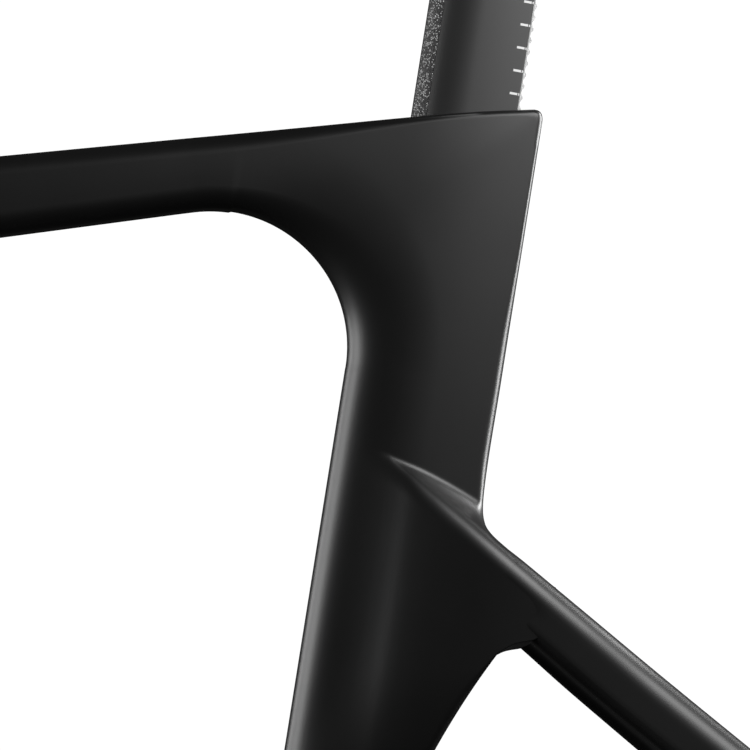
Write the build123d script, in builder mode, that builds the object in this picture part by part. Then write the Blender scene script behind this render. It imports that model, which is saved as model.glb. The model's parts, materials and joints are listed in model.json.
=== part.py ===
"""Aero road bicycle frameset: bonded carbon frame, steering fork with headset, sliding seatpost.

All sizes are millimetres. The origin is the centre of the bottom bracket.
+X runs to the rear wheel, +Y to the drive side and +Z up.
"""
import math
import os

from build123d import *

os.makedirs("parts", exist_ok=True)

# ------------------------------------------------------------------ driving sizes
seat_angle = 73.5
head_angle = 73.0
head_top_x = -380.7
head_top_z = 580.4
head_length = 175.0
fork_length = 372.4
fork_offset = 45.0

rear_axle_x = 398.9
rear_axle_z = 70.0
rear_hub_width = 142.0
front_hub_width = 100.0
wheel_arch_radius = 352.5
tyre_half_gap = 17.5

seat_front = -31.2
seat_rear = 35.3
seat_half_width = 14.0
seat_tail_half_width = 11.6
seat_nose_reach = 24.0
seat_wall = 2.0

post_front = -20.3
post_rear = 24.4
post_half_width = 10.5
post_tail_half_width = 8.6
post_nose_reach = 16.0
post_bottom = 432.0
post_top = 716.0
post_clearance = 0.3
socket_bottom = 340.0

top_line_z = 553.4
top_line_fall = 0.032
corner_radius = 58.0
corner_x = 44.2
corner_z = 463.0
tube_wall = 2.0

bb_radius = 20.5
bb_length = 86.5
bb_sleeve_radius = 22.0
bb_shell_radius = 27.0

steerer_radius = 14.3
steerer_bore = 12.0
crown_race_radius = 20.0
upper_bearing_radius = 20.9
upper_bearing_bore = 15.1
lower_bearing_radius = 26.0
lower_bearing_bore = 20.0
bearing_height = 7.0
spacer_height = 5.0
steerer_bearing_radius = 14.1
steerer_above = 70.0

stay_angle = 47.4
stay_depth = 26.5
stay_start_x = 155.7
stay_start_z = 364.5
stay_half_outer = 28.0

axle_radius = 5.95
axle_hole = 6.0

# ------------------------------------------------------------------ working frames
sa = math.sin(math.radians(seat_angle))
ca = math.cos(math.radians(seat_angle))
sh = math.sin(math.radians(head_angle))
ch = math.cos(math.radians(head_angle))
sv = math.sin(math.radians(stay_angle))
cv = math.cos(math.radians(stay_angle))

# local x to the rear across the tube, local y to the drive side, local z up along the tube
seat_plane = Plane(origin=(0, 0, 0), x_dir=(sa, 0, -ca), z_dir=(ca, 0, sa))
head_plane = Plane(origin=(head_top_x, 0, head_top_z), x_dir=(sh, 0, -ch), z_dir=(ch, 0, sh))
side_plane = Plane.XZ

front_axle_x = head_top_x - (head_length + fork_length) * ch - fork_offset * sh
front_axle_z = head_top_z - (head_length + fork_length) * sh + fork_offset * ch

# down tube: local x to the drive side, local z from the head tube to the bottom bracket
down_length = math.hypot(396.0, 441.0)
down_x = 396.0 / down_length
down_z = -441.0 / down_length
down_plane = Plane(origin=(-416, 0, 463), x_dir=(0, 1, 0), z_dir=(down_x, 0, down_z))

# bottle boss frames: local z out of the tube's face, local y back up the tube
seat_boss_plane = Plane(origin=(0, 0, 0), x_dir=(0, 1, 0), z_dir=(-sa, 0, ca))
down_boss_plane = Plane(origin=down_plane.origin, x_dir=(0, 1, 0), z_dir=(-down_z, 0, down_x))
boss_spacing = 64.0
rear_brake_x = 288.2
rear_brake_y = -64.4
boss_radius = 4.0
seat_boss_s = 200.0
down_boss_s = 250.0
seat_boss_face = 30.2
down_boss_face = 26.6

# ------------------------------------------------------------------ bottom bracket
# the shell is the root of the frame: a carbon barrel round a bonded alloy sleeve
with BuildPart() as bottom_bracket_shell:
    with BuildSketch(Plane.XZ):
        Circle(bb_shell_radius)
        with BuildLine():
            Polyline((-24, 12), (-44, 52), (-30, 66), (8, 66), (45, 54), (45, 10), (0, -10), close=True)
        make_face()
    extrude(amount=22, both=True)
    with BuildSketch(Plane.XZ):
        Circle(bb_shell_radius)
    extrude(amount=bb_length / 2, both=True)
    with BuildSketch(Plane.XZ):
        Circle(bb_sleeve_radius)
    extrude(amount=bb_length, both=True, mode=Mode.SUBTRACT)
    # wheel arch behind the seat tube
    with BuildSketch(Plane.XZ):
        with Locations((rear_axle_x, rear_axle_z)):
            Circle(wheel_arch_radius)
    extrude(amount=tyre_half_gap + 20, both=True, mode=Mode.SUBTRACT)

with BuildPart() as bottom_bracket_sleeve:
    with BuildSketch(Plane.XZ):
        Circle(bb_sleeve_radius)
        Circle(bb_radius, mode=Mode.SUBTRACT)
    extrude(amount=bb_length / 2, both=True)

# ------------------------------------------------------------------ seat tube with the top lug
# lug that carries the top tube, with the large inside corner arc under it
with BuildPart() as top_lug:
    with BuildSketch(Plane.XZ):
        with BuildLine():
            arc_end_x = corner_x + corner_radius * sa
            arc_end_z = corner_z - corner_radius * ca
            Line((corner_x, top_line_z - top_line_fall * corner_x), (150, 548.6))
            Line((150, 548.6), (160, 480))
            Line((160, 480), (120, 430))
            Line((120, 430), (arc_end_x - 10 * ca, arc_end_z - 10 * sa))
            Line((arc_end_x - 10 * ca, arc_end_z - 10 * sa), (arc_end_x, arc_end_z))
            CenterArc((corner_x, corner_z), corner_radius, seat_angle - 90, 180 - seat_angle)
            Line((corner_x, corner_z + corner_radius), (corner_x, top_line_z - top_line_fall * corner_x))
        make_face()
    extrude(amount=seat_half_width, both=True)
    lug_arcs = top_lug.edges().filter_by(GeomType.CIRCLE)
    lug_tops = top_lug.edges().filter_by(GeomType.LINE).group_by(SortBy.LENGTH)[-1]
    fillet(lug_arcs + lug_tops, 9)

# outside of the seat tube as a plain block: tail and nose of the deep section
with BuildPart() as seat_block:
    with BuildSketch(seat_plane.offset(58)) as seat_section:
        with Locations((seat_front + seat_nose_reach, 0)):
            Ellipse(seat_nose_reach, seat_half_width)
        with BuildLine():
            Polyline(
                (seat_front + seat_nose_reach, seat_half_width),
                (18, seat_half_width),
                (seat_rear, seat_tail_half_width),
                (seat_rear, -seat_tail_half_width),
                (18, -seat_half_width),
                (seat_front + seat_nose_reach, -seat_half_width),
                close=True,
            )
        make_face()
        fillet(seat_section.vertices().sort_by(Axis.X)[-2:], 4)
    extrude(amount=540)
    add(top_lug.part)
    # top of the frame: the top line, then a rounded rear corner
    with BuildSketch(Plane.XZ):
        with BuildLine():
            Line((-20, 640), (-20, top_line_z + 20 * top_line_fall))
            Line((-20, top_line_z + 20 * top_line_fall), (150, 548.6))
            Line((150, 548.6), (190.4, 545.5))
            ThreePointArc((190.4, 545.5), (195.4, 542.6), (196.9, 539.0))
            Line((196.9, 539.0), (230, 500))
            Line((230, 500), (260, 640))
            Line((260, 640), (-20, 640))
        make_face()
    extrude(amount=40, both=True, mode=Mode.SUBTRACT)
    # wheel arch
    with BuildSketch(Plane.XZ):
        with Locations((rear_axle_x, rear_axle_z)):
            Circle(wheel_arch_radius)
    extrude(amount=40, both=True, mode=Mode.SUBTRACT)
    # bottom bracket shell
    with BuildSketch(Plane.XZ):
        Circle(bb_shell_radius)
        with BuildLine():
            Polyline((-24, 12), (-44, 52), (-30, 66), (8, 66), (45, 54), (45, 10), (0, -10), close=True)
        make_face()
    extrude(amount=22, both=True, mode=Mode.SUBTRACT)

with BuildPart() as seat_tube:
    add(seat_block.part)
    # hollow below the post socket, ahead of the wheel arch
    with BuildSketch(seat_plane.offset(80)) as seat_hollow:
        with Locations((seat_front + seat_nose_reach, 0)):
            Ellipse(seat_nose_reach - seat_wall, seat_half_width - seat_wall)
        with Locations((-23.4, 0)):
            Rectangle(60, 60, mode=Mode.INTERSECT)
    extrude(amount=socket_bottom - 84, mode=Mode.SUBTRACT)
    # hollow of the lug toward the top tube
    with BuildSketch(Plane.XZ):
        with BuildLine():
            Line((40, 547.5), (106, 545.5))
            Line((106, 545.5), (103, 500))
            Line((103, 500), (92, 501.5))
            ThreePointArc((92, 501.5), (70, 518.8), (corner_x, corner_z + corner_radius + 3.5))
            Line((corner_x, corner_z + corner_radius + 3.5), (40, corner_z + corner_radius + 3.5))
            Line((40, corner_z + corner_radius + 3.5), (40, 547.5))
        make_face()
    extrude(amount=10, both=True, mode=Mode.SUBTRACT)
    # socket of the seatpost
    with BuildSketch(seat_plane.offset(socket_bottom)):
        with Locations((post_front + post_nose_reach, 0)):
            Ellipse(post_nose_reach + post_clearance, post_half_width + post_clearance)
        with BuildLine():
            Polyline(
                (post_front + post_nose_reach, post_half_width + post_clearance),
                (12, post_half_width + post_clearance),
                (25.5 + post_clearance, post_tail_half_width + post_clearance),
                (25.5 + post_clearance, -post_tail_half_width - post_clearance),
                (12, -post_half_width - post_clearance),
                (post_front + post_nose_reach, -post_half_width - post_clearance),
                close=True,
            )
        make_face()
    extrude(amount=260, mode=Mode.SUBTRACT)
    # chamber of the post clamp, ahead of the post
    with BuildSketch(seat_plane.offset(522)):
        with Locations((-27.5, 0)):
            Rectangle(19, 17)
    extrude(amount=80, mode=Mode.SUBTRACT)
    # shelf the clamp cap hangs on
    with BuildSketch(seat_plane.offset(555)):
        with Locations((-29, 0)):
            Rectangle(24, 20)
    extrude(amount=60, mode=Mode.SUBTRACT)
    # seats and holes of the bottle bosses
    with BuildSketch(seat_boss_plane.offset(seat_boss_face)):
        with Locations((0, -seat_boss_s), (0, -seat_boss_s - boss_spacing)):
            Circle(5.6)
    extrude(amount=10, mode=Mode.SUBTRACT)
    with BuildSketch(seat_boss_plane.offset(15)):
        with Locations((0, -seat_boss_s), (0, -seat_boss_s - boss_spacing)):
            Circle(boss_radius + 0.05)
    extrude(amount=20, mode=Mode.SUBTRACT)

# ------------------------------------------------------------------ top tube
# outside of the head tube as a plain block, which the main tubes are mitred to
with BuildPart() as head_block:
    with BuildSketch(head_plane):
        Ellipse(28, 25)
    with BuildSketch(head_plane.offset(-70)):
        Ellipse(30, 20)
    with BuildSketch(head_plane.offset(-head_length)):
        Ellipse(33, 31)
    loft()

with BuildPart() as top_tube:
    with BuildSketch(Plane(origin=(corner_x, 0, 536.5), x_dir=(0, 1, 0), z_dir=(-1, 0, 0))):
        RectangleRounded(2 * seat_half_width, 30.9, 9)
    with BuildSketch(Plane(origin=(-392, 0, 540.5), x_dir=(0, 1, 0), z_dir=(-1, 0, 0))):
        RectangleRounded(38, 46, 11)
    loft()
    with BuildSketch(Plane(origin=(corner_x, 0, 536.5), x_dir=(0, 1, 0), z_dir=(-1, 0, 0))):
        RectangleRounded(2 * (seat_half_width - tube_wall), 30.9 - 2 * tube_wall, 7)
    with BuildSketch(Plane(origin=(-392, 0, 540.5), x_dir=(0, 1, 0), z_dir=(-1, 0, 0))):
        RectangleRounded(38 - 2 * tube_wall, 46 - 2 * tube_wall, 9)
    loft(mode=Mode.SUBTRACT)
    add(head_block.part, mode=Mode.SUBTRACT)

# ------------------------------------------------------------------ head tube
with BuildPart() as head_tube:
    add(head_block.part)
    # cups of the two bearings and the steerer passage between them
    with BuildSketch(head_plane.offset(5)):
        Circle(18)
    extrude(amount=-head_length - 10, mode=Mode.SUBTRACT)
    with BuildSketch(head_plane):
        Circle(upper_bearing_radius)
    extrude(amount=-bearing_height - 4, mode=Mode.SUBTRACT)
    with BuildSketch(head_plane.offset(-head_length)):
        Circle(lower_bearing_radius)
    extrude(amount=bearing_height + 0.5, mode=Mode.SUBTRACT)
    with BuildSketch(head_plane.offset(-head_length)):
        Circle(23.2)
    extrude(amount=40, mode=Mode.SUBTRACT)


# ------------------------------------------------------------------ down tube
with BuildPart() as down_tube:
    with BuildSketch(down_plane):
        RectangleRounded(38, 52, 16)
    with BuildSketch(down_plane.offset(down_length - 12)):
        RectangleRounded(44, 58, 16)
    loft()
    with BuildSketch(down_plane):
        RectangleRounded(38 - 2 * tube_wall, 52 - 2 * tube_wall, 14)
    with BuildSketch(down_plane.offset(down_length - 12)):
        RectangleRounded(44 - 2 * tube_wall, 58 - 2 * tube_wall, 14)
    loft(mode=Mode.SUBTRACT)
    add(head_block.part, mode=Mode.SUBTRACT)
    with BuildSketch(Plane.XZ):
        Circle(bb_shell_radius)
        with BuildLine():
            Polyline((-24, 12), (-44, 52), (-30, 66), (8, 66), (45, 54), (45, 10), (0, -10), close=True)
        make_face()
    extrude(amount=60, both=True, mode=Mode.SUBTRACT)
    # seats and holes of the bottle bosses, on the upper face
    with BuildSketch(down_boss_plane.offset(down_boss_face)):
        with Locations((0, -down_boss_s), (0, -down_boss_s - boss_spacing)):
            Circle(5.6)
    extrude(amount=10, mode=Mode.SUBTRACT)
    with BuildSketch(down_boss_plane.offset(15)):
        with Locations((0, -down_boss_s), (0, -down_boss_s - boss_spacing)):
            Circle(boss_radius + 0.05)
    extrude(amount=20, mode=Mode.SUBTRACT)
    # port of the brake hose, through the left wall
    with BuildSketch(Plane.XZ.offset(10)):
        with Locations((-416 + 70 * down_x, 463 + 70 * down_z)):
            Circle(5.05)
    extrude(amount=20, mode=Mode.SUBTRACT)

with BuildPart() as hose_grommet:
    with BuildSketch(Plane.XZ.offset(16)):
        with Locations((-416 + 70 * down_x, 463 + 70 * down_z)):
            Circle(5)
    extrude(amount=3.8)
    with BuildSketch(Plane.XZ.offset(19.6)):
        with Locations((-416 + 70 * down_x, 463 + 70 * down_z)):
            Circle(6.5)
    extrude(amount=1)
    with BuildSketch(Plane.XZ.offset(10)):
        with Locations((-416 + 70 * down_x, 463 + 70 * down_z)):
            Circle(2.6)
    extrude(amount=20, mode=Mode.SUBTRACT)

# threaded bosses for the bottle cages, two on each tube
with BuildPart() as seat_bottle_bosses:
    with BuildSketch(seat_boss_plane.offset(18)):
        with Locations((0, -seat_boss_s), (0, -seat_boss_s - boss_spacing)):
            Circle(boss_radius)
    extrude(amount=seat_boss_face - 18)
    with BuildSketch(seat_boss_plane.offset(seat_boss_face)):
        with Locations((0, -seat_boss_s), (0, -seat_boss_s - boss_spacing)):
            Circle(5.5)
    extrude(amount=1.2)
    with BuildSketch(seat_boss_plane.offset(10)):
        with Locations((0, -seat_boss_s), (0, -seat_boss_s - boss_spacing)):
            Circle(2.55)
    extrude(amount=30, mode=Mode.SUBTRACT)

with BuildPart() as down_bottle_bosses:
    with BuildSketch(down_boss_plane.offset(14)):
        with Locations((0, -down_boss_s), (0, -down_boss_s - boss_spacing)):
            Circle(boss_radius)
    extrude(amount=down_boss_face - 14)
    with BuildSketch(down_boss_plane.offset(down_boss_face)):
        with Locations((0, -down_boss_s), (0, -down_boss_s - boss_spacing)):
            Circle(5.5)
    extrude(amount=1.6)
    with BuildSketch(down_boss_plane.offset(5)):
        with Locations((0, -down_boss_s), (0, -down_boss_s - boss_spacing)):
            Circle(2.55)
    extrude(amount=30, mode=Mode.SUBTRACT)

# ------------------------------------------------------------------ rear stays
# solid shared by everything that must keep clear of the rear tyre
with BuildPart() as wheel_gap:
    with BuildSketch(Plane.XZ):
        with Locations((rear_axle_x, rear_axle_z)):
            Circle(wheel_arch_radius)
    extrude(amount=tyre_half_gap, both=True)

with BuildPart() as rear_dropout_left:
    with BuildSketch(Plane.XZ.offset(rear_hub_width / 2)):
        with Locations((rear_axle_x, rear_axle_z)):
            Circle(15)
        with BuildLine():
            Polyline((411, 79), (383.8, 116.4), (369.1, 102.9), (352, 84), (352, 52), (392, 56.6), close=True)
        make_face()
    extrude(amount=8)
    with BuildSketch(Plane.XZ.offset(rear_hub_width / 2 - 5)):
        with Locations((rear_axle_x, rear_axle_z)):
            Circle(axle_hole)
    extrude(amount=20, mode=Mode.SUBTRACT)

with BuildPart() as rear_dropout_right:
    add(mirror(rear_dropout_left.part, about=Plane.XZ))
    # hole of the hanger screw
    with BuildSketch(Plane.XZ.offset(-70)):
        with Locations((rear_axle_x, rear_axle_z - 12)):
            Circle(1.65)
    extrude(amount=-20, mode=Mode.SUBTRACT)

# flank that spreads each stay over the side of the seat tube, up to the shelf tip
with BuildPart() as stay_flank:
    with BuildSketch(Plane.XZ):
        with BuildLine():
            Polyline(
                (116.9, 403.6),
                (stay_start_x + 6 * cv, stay_start_z - 6 * sv),
                (stay_start_x + 6 * cv - 26.5 * sv, stay_start_z - 6 * sv - 26.5 * cv),
                (156, 319),
                (120, 300),
                (84, 232),
                (62, 232),
                close=True,
            )
        make_face()
    extrude(amount=60)
    with BuildSketch(seat_plane):
        with BuildLine():
            Polyline((-8, -6), (-8, -13.9), (46, -27.5), (90, -30), (90, -6), close=True)
        make_face()
    extrude(amount=600, mode=Mode.INTERSECT)
    with BuildSketch(Plane.YZ):
        with BuildLine():
            Polyline((-13.6, 232), (-27.8, 315), (-27.8, 420), (-6, 420), (-6, 232), close=True)
        make_face()
    extrude(amount=400, mode=Mode.INTERSECT)
    with BuildSketch(Plane.XZ):
        with Locations((rear_axle_x, rear_axle_z)):
            Circle(wheel_arch_radius)
    extrude(amount=18, both=True, mode=Mode.SUBTRACT)

# stay frame: local x to the drive side, local y up and back, local z down the stay to the axle
stay_plane = Plane(
    origin=(stay_start_x, 0, stay_start_z), x_dir=(0, 1, 0), z_dir=(cv, 0, -sv)
)
with BuildPart() as seatstay_left:
    with BuildSketch(stay_plane):
        with Locations((-(stay_half_outer - 6.5), -stay_depth / 2)):
            RectangleRounded(13, stay_depth, 4)
    with BuildSketch(stay_plane.offset(90)):
        with Locations((-28, -stay_depth / 2)):
            RectangleRounded(12, stay_depth - 1, 4)
    with BuildSketch(stay_plane.offset(240)):
        with Locations((-54, -12)):
            RectangleRounded(11, 23, 4)
    with BuildSketch(stay_plane.offset(337)):
        with Locations((-75, -10)):
            RectangleRounded(9, 20, 3.5)
    loft()
    add(stay_flank.part)
    add(seat_block.part, mode=Mode.SUBTRACT)
    add(wheel_gap.part, mode=Mode.SUBTRACT)

with BuildPart() as seatstay_right:
    add(mirror(seatstay_left.part, about=Plane.XZ))

with BuildPart() as chainstay_left:
    with BuildSketch(Plane(origin=(10, -30, -4), x_dir=(0, 1, 0), z_dir=(1, 0, 0))):
        RectangleRounded(20, 38, 6)
    with BuildSketch(Plane(origin=(120, -37, 16), x_dir=(0, 1, 0), z_dir=(1, 0, 0))):
        RectangleRounded(14, 34, 5)
    with BuildSketch(Plane(origin=(250, -58, 42), x_dir=(0, 1, 0), z_dir=(1, 0, 0))):
        RectangleRounded(13, 28, 5)
    with BuildSketch(Plane(origin=(352, -75, 64), x_dir=(0, 1, 0), z_dir=(1, 0, 0))):
        RectangleRounded(10, 23, 4)
    loft()
    with BuildSketch(Plane.XZ):
        Circle(bb_shell_radius)
    extrude(amount=80, both=True, mode=Mode.SUBTRACT)
    add(bottom_bracket_shell.part, mode=Mode.SUBTRACT)
    add(wheel_gap.part, mode=Mode.SUBTRACT)

with BuildPart() as chainstay_right:
    add(mirror(chainstay_left.part, about=Plane.XZ))

# bolt holes of the rear brake, up through the left stay
with BuildPart() as rear_brake_holes:
    with BuildSketch(Plane.XY):
        with Locations((rear_brake_x, rear_brake_y)):
            Circle(2.75)
        with Locations((rear_brake_x + 33.55, rear_brake_y - 5.5)):
            Circle(2.75)
    extrude(amount=120)

with BuildPart() as chainstay_brake_side:
    add(chainstay_left.part)
    add(rear_brake_holes.part, mode=Mode.SUBTRACT)

# ------------------------------------------------------------------ hanger and rear axle
with BuildPart() as derailleur_hanger:
    with BuildSketch(Plane.XZ.offset(-rear_hub_width / 2 - 8)):
        with Locations((rear_axle_x, rear_axle_z)):
            Circle(12)
        with BuildLine():
            Polyline((390, 62), (398, 40), (412, 40), (409, 70), close=True)
        make_face()
        with Locations((405, 41)):
            Circle(8)
    extrude(amount=-7)
    with BuildSketch(Plane.XZ):
        with Locations((rear_axle_x, rear_axle_z)):
            Circle(axle_hole)
        with Locations((405, 41)):
            Circle(5)
        with Locations((rear_axle_x, rear_axle_z - 12)):
            Circle(1.65)
    extrude(amount=-120, mode=Mode.SUBTRACT)

with BuildPart() as hanger_screw:
    with BuildSketch(Plane.XZ.offset(-72)):
        with Locations((rear_axle_x, rear_axle_z - 12)):
            Circle(1.6)
    extrude(amount=-14)
    with BuildSketch(Plane.XZ.offset(-86)):
        with Locations((rear_axle_x, rear_axle_z - 12)):
            Circle(2.8)
    extrude(amount=-1.8)
    with BuildSketch(Plane.XZ.offset(-87.8)):
        with Locations((rear_axle_x, rear_axle_z - 12)):
            RegularPolygon(1.2, 6)
    extrude(amount=1.2, mode=Mode.SUBTRACT)

with BuildPart() as rear_axle:
    with BuildSketch(Plane.XZ.offset(rear_hub_width / 2 + 8.3)):
        with Locations((rear_axle_x, rear_axle_z)):
            Circle(10)
    extrude(amount=5)
    with BuildSketch(Plane.XZ.offset(rear_hub_width / 2 + 9)):
        with Locations((rear_axle_x, rear_axle_z)):
            Circle(axle_radius)
    extrude(amount=-(rear_hub_width + 24))
    # socket for the hex key
    with BuildSketch(Plane.XZ.offset(rear_hub_width / 2 + 13.3)):
        with Locations((rear_axle_x, rear_axle_z)):
            RegularPolygon(3.5, 6)
    extrude(amount=-8, mode=Mode.SUBTRACT)

# ------------------------------------------------------------------ fork
with BuildPart() as fork_steerer:
    with BuildSketch(head_plane.offset(-head_length - 1.5)):
        Circle(crown_race_radius)
    extrude(amount=9.5)
    with BuildSketch(head_plane.offset(-head_length + 8)):
        Circle(crown_race_radius)
    with BuildSketch(head_plane.offset(-head_length + 32)):
        Circle(steerer_bearing_radius)
    loft()
    with BuildSketch(head_plane.offset(-head_length + 32)):
        Circle(steerer_bearing_radius)
    extrude(amount=head_length - 32 + 8 + 3 * spacer_height)
    # stretch the stem clamps
    with BuildSketch(head_plane.offset(8 + 3 * spacer_height)):
        Circle(steerer_radius)
    extrude(amount=steerer_above - 8 - 3 * spacer_height)
    with BuildSketch(head_plane.offset(-head_length - 1.5)):
        Circle(steerer_bore)
    extrude(amount=head_length + steerer_above + 5, mode=Mode.SUBTRACT)

with BuildPart() as front_dropout_left:
    with BuildSketch(Plane.XZ.offset(front_hub_width / 2)):
        with Locations((front_axle_x, front_axle_z)):
            Circle(12)
        with Locations((front_axle_x + 13 * ch, front_axle_z + 13 * sh)):
            Rectangle(19, 26, rotation=head_angle - 90)
    extrude(amount=8)
    with BuildSketch(Plane.XZ.offset(front_hub_width / 2 - 5)):
        with Locations((front_axle_x, front_axle_z)):
            Circle(axle_hole)
    extrude(amount=20, mode=Mode.SUBTRACT)

with BuildPart() as front_dropout_right:
    add(mirror(front_dropout_left.part, about=Plane.XZ))

with BuildPart() as fork_crown:
    with BuildSketch(head_plane.offset(-head_length - 1.5)):
        Ellipse(33, 31)
    with BuildSketch(head_plane.offset(-head_length - 26)):
        RectangleRounded(54, 92, 20)
    loft()
    with BuildSketch(Plane.XZ):
        with Locations((front_axle_x, front_axle_z)):
            Circle(347)
    extrude(amount=22, both=True, mode=Mode.SUBTRACT)
    with BuildSketch(head_plane.offset(-head_length)):
        Circle(steerer_bore)
    extrude(amount=-40, mode=Mode.SUBTRACT)

with BuildPart() as fork_blade_left:
    with BuildSketch(head_plane.offset(-head_length - 26)):
        with Locations((0, -34)):
            Ellipse(26, 11.8)
    with BuildSketch(head_plane.offset(-head_length - 180)):
        with Locations((-9, -43)):
            Ellipse(20, 9)
    with BuildSketch(head_plane.offset(-head_length - fork_length + 26)):
        with Locations((-45, -54)):
            Ellipse(12.5, 6)
    loft()
    with BuildSketch(Plane.XZ):
        with Locations((front_axle_x, front_axle_z)):
            Circle(347)
    extrude(amount=21, both=True, mode=Mode.SUBTRACT)
    add(front_dropout_left.part, mode=Mode.SUBTRACT)
    add(fork_crown.part, mode=Mode.SUBTRACT)

with BuildPart() as fork_blade_right:
    add(mirror(fork_blade_left.part, about=Plane.XZ))

# the left blade also has the two bolt holes of the front brake
with BuildPart() as fork_blade_brake_side:
    add(fork_blade_left.part)
    with BuildSketch(Plane(origin=head_plane.origin, x_dir=(0, 1, 0), z_dir=head_plane.x_dir)):
        with Locations((-49.3, 400), (-49.3, 470), (-49.3, -400), (-49.3, -470)):
            Circle(2.6)
    extrude(amount=100, both=True, mode=Mode.SUBTRACT)

with BuildPart() as front_axle:
    with BuildSketch(Plane.XZ.offset(front_hub_width / 2 + 8.3)):
        with Locations((front_axle_x, front_axle_z)):
            Circle(9.5)
    extrude(amount=5)
    with BuildSketch(Plane.XZ.offset(front_hub_width / 2 + 9)):
        with Locations((front_axle_x, front_axle_z)):
            Circle(axle_radius)
    extrude(amount=-(front_hub_width + 18))
    with BuildSketch(Plane.XZ.offset(front_hub_width / 2 + 13.3)):
        with Locations((front_axle_x, front_axle_z)):
            RegularPolygon(3.5, 6)
    extrude(amount=-8, mode=Mode.SUBTRACT)

# ------------------------------------------------------------------ headset
head_side = Plane(origin=head_plane.origin, x_dir=head_plane.x_dir, z_dir=(0, -1, 0))
head_axis = Axis(origin=head_plane.origin, direction=head_plane.z_dir)
upper_ball_height = -7.5
upper_ball_pitch = 17.9
upper_ball_radius = 1.4
lower_ball_height = -head_length + 4
lower_ball_pitch = 23.0
lower_ball_radius = 1.7

with BuildPart() as upper_outer_race:
    with BuildSketch(head_side):
        with Locations((19.8, upper_ball_height)):
            Rectangle(2.1, bearing_height)
        with Locations((upper_ball_pitch, upper_ball_height)):
            Circle(upper_ball_radius + 0.04, mode=Mode.SUBTRACT)
    revolve(axis=head_axis)

with BuildPart() as upper_inner_race:
    with BuildSketch(head_side):
        with Locations((16.05, upper_ball_height)):
            Rectangle(1.9, bearing_height)
        with Locations((upper_ball_pitch, upper_ball_height)):
            Circle(upper_ball_radius + 0.04, mode=Mode.SUBTRACT)
    revolve(axis=head_axis)

with BuildPart() as upper_balls:
    with Locations(head_plane.offset(upper_ball_height)):
        with PolarLocations(upper_ball_pitch, 24):
            Sphere(upper_ball_radius)

with BuildPart() as upper_ball_cage:
    with BuildSketch(head_side):
        with Locations((upper_ball_pitch, upper_ball_height)):
            Rectangle(1.2, 4.4)
    revolve(axis=head_axis)
    with Locations(head_plane.offset(upper_ball_height)):
        with PolarLocations(upper_ball_pitch, 24):
            Cylinder(upper_ball_radius + 0.04, 6, rotation=(0, 90, 0), mode=Mode.SUBTRACT)

with BuildPart() as lower_outer_race:
    with BuildSketch(head_side):
        with Locations((24.9, lower_ball_height)):
            Rectangle(2.1, bearing_height)
        with Locations((lower_ball_pitch, lower_ball_height)):
            Circle(lower_ball_radius + 0.04, mode=Mode.SUBTRACT)
    revolve(axis=head_axis)

with BuildPart() as lower_inner_race:
    with BuildSketch(head_side):
        with Locations((21.1, lower_ball_height)):
            Rectangle(2.1, bearing_height)
        with Locations((lower_ball_pitch, lower_ball_height)):
            Circle(lower_ball_radius + 0.04, mode=Mode.SUBTRACT)
    revolve(axis=head_axis)

with BuildPart() as lower_balls:
    with Locations(head_plane.offset(lower_ball_height)):
        with PolarLocations(lower_ball_pitch, 26):
            Sphere(lower_ball_radius)

with BuildPart() as lower_ball_cage:
    with BuildSketch(head_side):
        with Locations((lower_ball_pitch, lower_ball_height)):
            Rectangle(1.2, 5)
    revolve(axis=head_axis)
    with Locations(head_plane.offset(lower_ball_height)):
        with PolarLocations(lower_ball_pitch, 26):
            Cylinder(lower_ball_radius + 0.04, 6, rotation=(0, 90, 0), mode=Mode.SUBTRACT)

# split ring that centres the steerer in the upper bearing
with BuildPart() as compression_ring:
    with BuildSketch(head_side):
        with BuildLine():
            Polyline((14.35, -10), (15.05, -10), (15.05, -4), (17.4, -4), (15.6, 0.5), (14.35, 0.5), close=True)
        make_face()
    revolve(axis=head_axis)

with BuildPart() as headset_cover:
    with BuildSketch(head_side):
        with BuildLine():
            Polyline((14.4, 0.5), (24.6, 0.5), (24.6, 2), (19, 8), (14.4, 8), close=True)
        make_face()
    revolve(axis=head_axis)

with BuildPart() as crown_race:
    with BuildSketch(head_side):
        with BuildLine():
            Polyline((20.05, -head_length - 1.5), (25, -head_length - 1.5), (22, -head_length + 0.5),
                     (20.05, -head_length + 0.5), close=True)
        make_face()
    revolve(axis=head_axis)

with BuildPart() as steerer_spacer_lower:
    with BuildSketch(head_plane.offset(8)):
        Circle(18)
        Circle(14.4, mode=Mode.SUBTRACT)
    extrude(amount=spacer_height)

with BuildPart() as steerer_spacer_middle:
    with BuildSketch(head_plane.offset(8 + spacer_height)):
        Circle(18)
        Circle(14.4, mode=Mode.SUBTRACT)
    extrude(amount=spacer_height)

with BuildPart() as steerer_spacer_upper:
    with BuildSketch(head_plane.offset(8 + 2 * spacer_height)):
        Circle(18)
        Circle(14.4, mode=Mode.SUBTRACT)
    extrude(amount=spacer_height)

# plug that grips the inside of the steerer and preloads the bearings
with BuildPart() as expander_sleeve:
    with BuildSketch(head_side):
        with BuildLine():
            Polyline((10, 34), (11.95, 34), (11.95, 70), (5.5, 70), (5.5, 54), close=True)
        make_face()
    revolve(axis=head_axis)

with BuildPart() as expander_cone:
    with BuildSketch(head_side):
        with BuildLine():
            Polyline((3, 32), (10.2, 32), (5.4, 53.6), (3, 53.6), close=True)
        make_face()
    revolve(axis=head_axis)

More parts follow.
